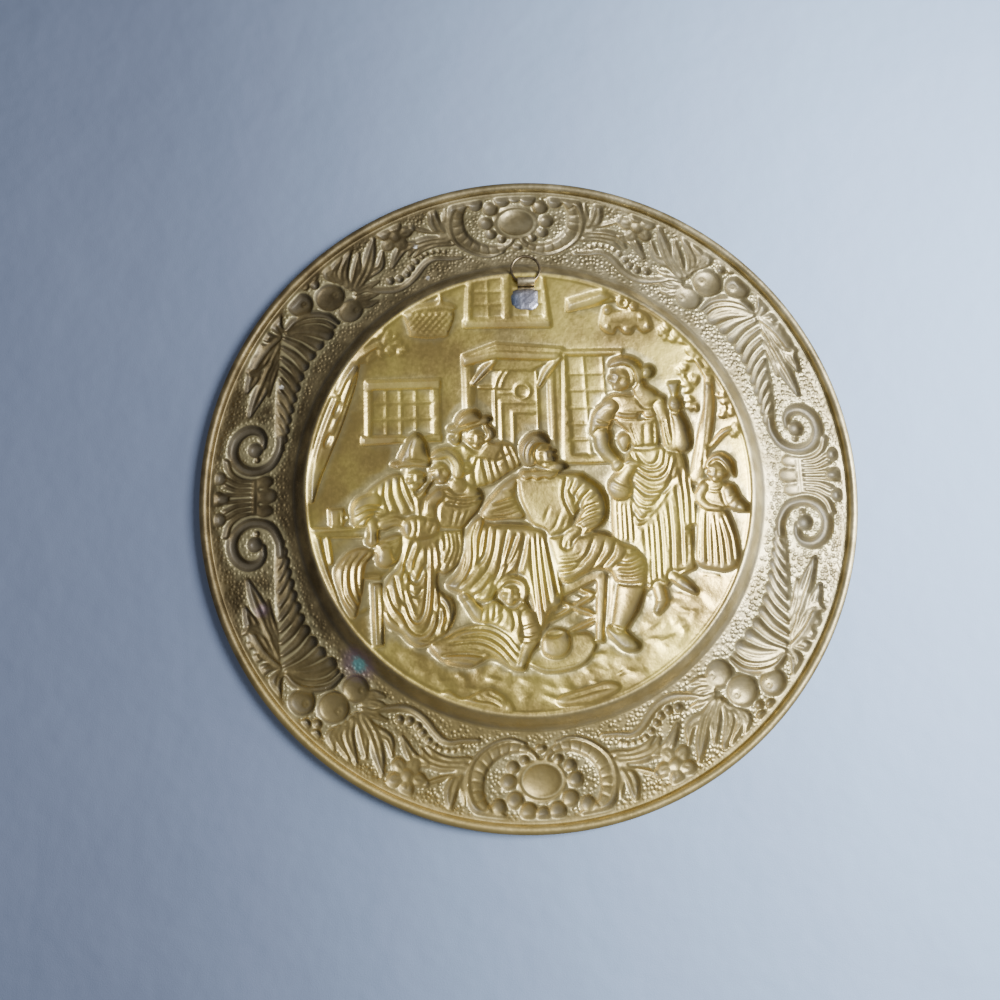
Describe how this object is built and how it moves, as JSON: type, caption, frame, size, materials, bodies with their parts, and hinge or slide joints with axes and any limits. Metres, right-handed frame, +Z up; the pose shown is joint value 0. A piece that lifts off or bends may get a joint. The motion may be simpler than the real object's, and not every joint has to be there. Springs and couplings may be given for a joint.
{
  "type": "relief wall plate",
  "caption": "Round wall plate of thin pressed brass: tavern scene in relief, border of fruit, leaves and scrolls, rolled edge, wire hanging ring in a soldered strap at the back.",
  "frame": {"origin": "inside of the hanging ring's top, where the nail bears", "axes": "+X to the right of someone looking at the front, +Y from the front into the wall, +Z up"},
  "size_m": [0.3999, 0.0253, 0.4],
  "materials": {
    "brass_sheet": "satin, with brown patina",
    "strap_brass": "dull",
    "solder": "dull, rough",
    "ring_wire": "dull"
  },
  "bodies": {
    "back": {"plate": "brass_sheet", "hanger_strap": "strap_brass", "solder_patch": "solder"},
    "ring": {"hanging_ring": "ring_wire"}
  },
  "joints": [
    {"name": "ring_swing", "type": "hinge", "parent": "back", "child": "ring", "pos_m": [0, 0.00082, -0.01572], "axis": [-1, 0, 0], "range_deg": [0, 165]}
  ]
}
